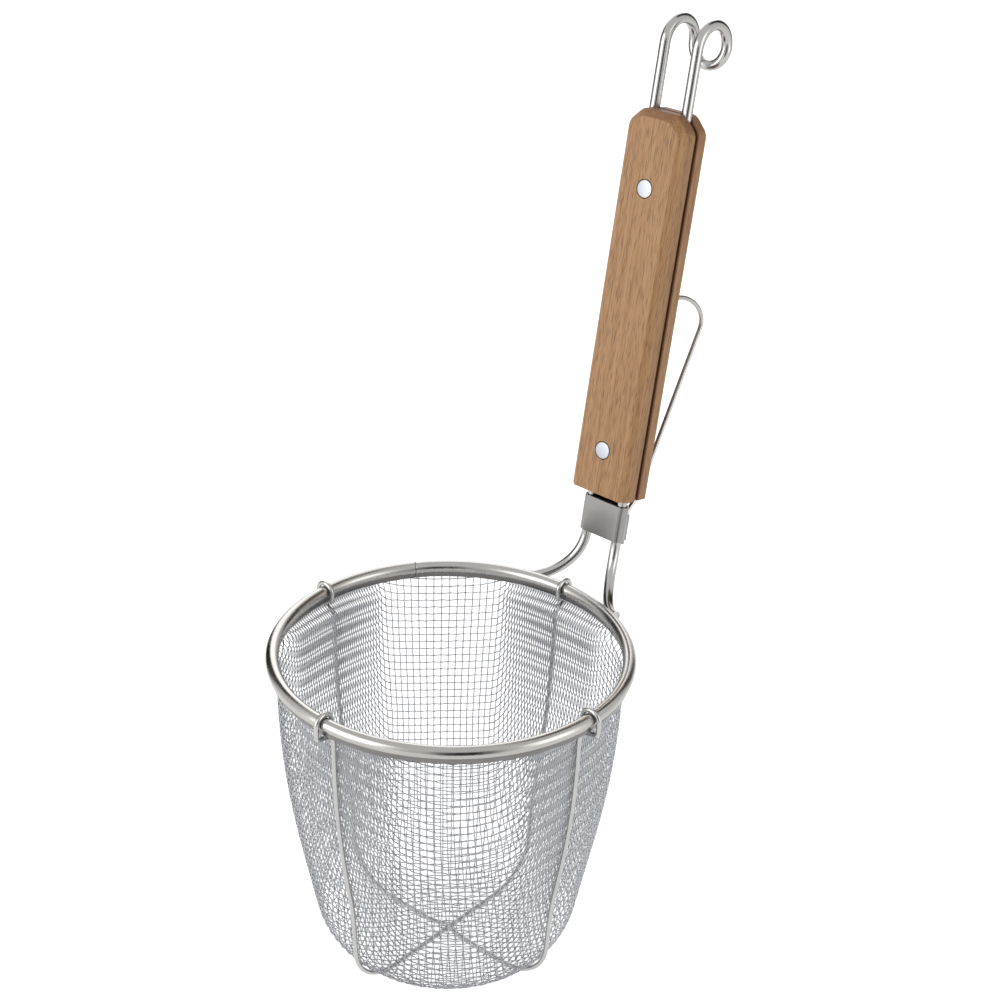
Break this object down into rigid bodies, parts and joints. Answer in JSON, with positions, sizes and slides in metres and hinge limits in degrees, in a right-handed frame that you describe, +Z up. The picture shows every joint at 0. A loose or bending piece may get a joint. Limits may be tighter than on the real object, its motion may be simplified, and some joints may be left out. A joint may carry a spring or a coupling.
{
  "type": "noodle strainer",
  "caption": "Deep woven wire noodle strainer with a rolled rim, crossed wire ribs, a rod handle with a riveted wooden grip, a hanging hook and a sprung pan clip.",
  "frame": {"origin": "middle of the base, on the surface that the strainer stands on", "axes": "+Z up along the basket's axis; +Y towards the side of the rim that the handle rises from"},
  "size_m": [0.1546, 0.2254, 0.3779],
  "materials": {
    "mesh_steel": "bright drawn wire cloth",
    "sheet_steel": "satin",
    "rib_steel": "electropolished wire",
    "rod_steel": "electropolished rod",
    "clip_steel": "drawn spring wire",
    "grip_wood": "light brown, fine straight grain, sealed matt",
    "rivet_aluminium": "pressed, satin"
  },
  "bodies": {
    "strainer": {"mesh_basket": "mesh_steel", "rim_channel": "sheet_steel", "rim_core_ring": "rib_steel", "rib_wire_lower": "rib_steel", "rib_wire_upper": "rib_steel", "handle_rod": "rod_steel", "leg_sleeve": "sheet_steel", "grip_front": "grip_wood", "grip_back": "grip_wood", "rivet_lower_front": "rivet_aluminium", "rivet_lower_back": "rivet_aluminium", "rivet_upper_front": "rivet_aluminium", "rivet_upper_back": "rivet_aluminium"},
    "clip": {"pan_clip": "clip_steel"}
  },
  "joints": [
    {"name": "clip_flex", "type": "hinge", "parent": "strainer", "child": "clip", "pos_m": [0, 0.09876, 0.17043], "axis": [-1, 0, 0], "range_deg": [0, 3.5], "stiffness_Nm_per_rad": 4}
  ]
}
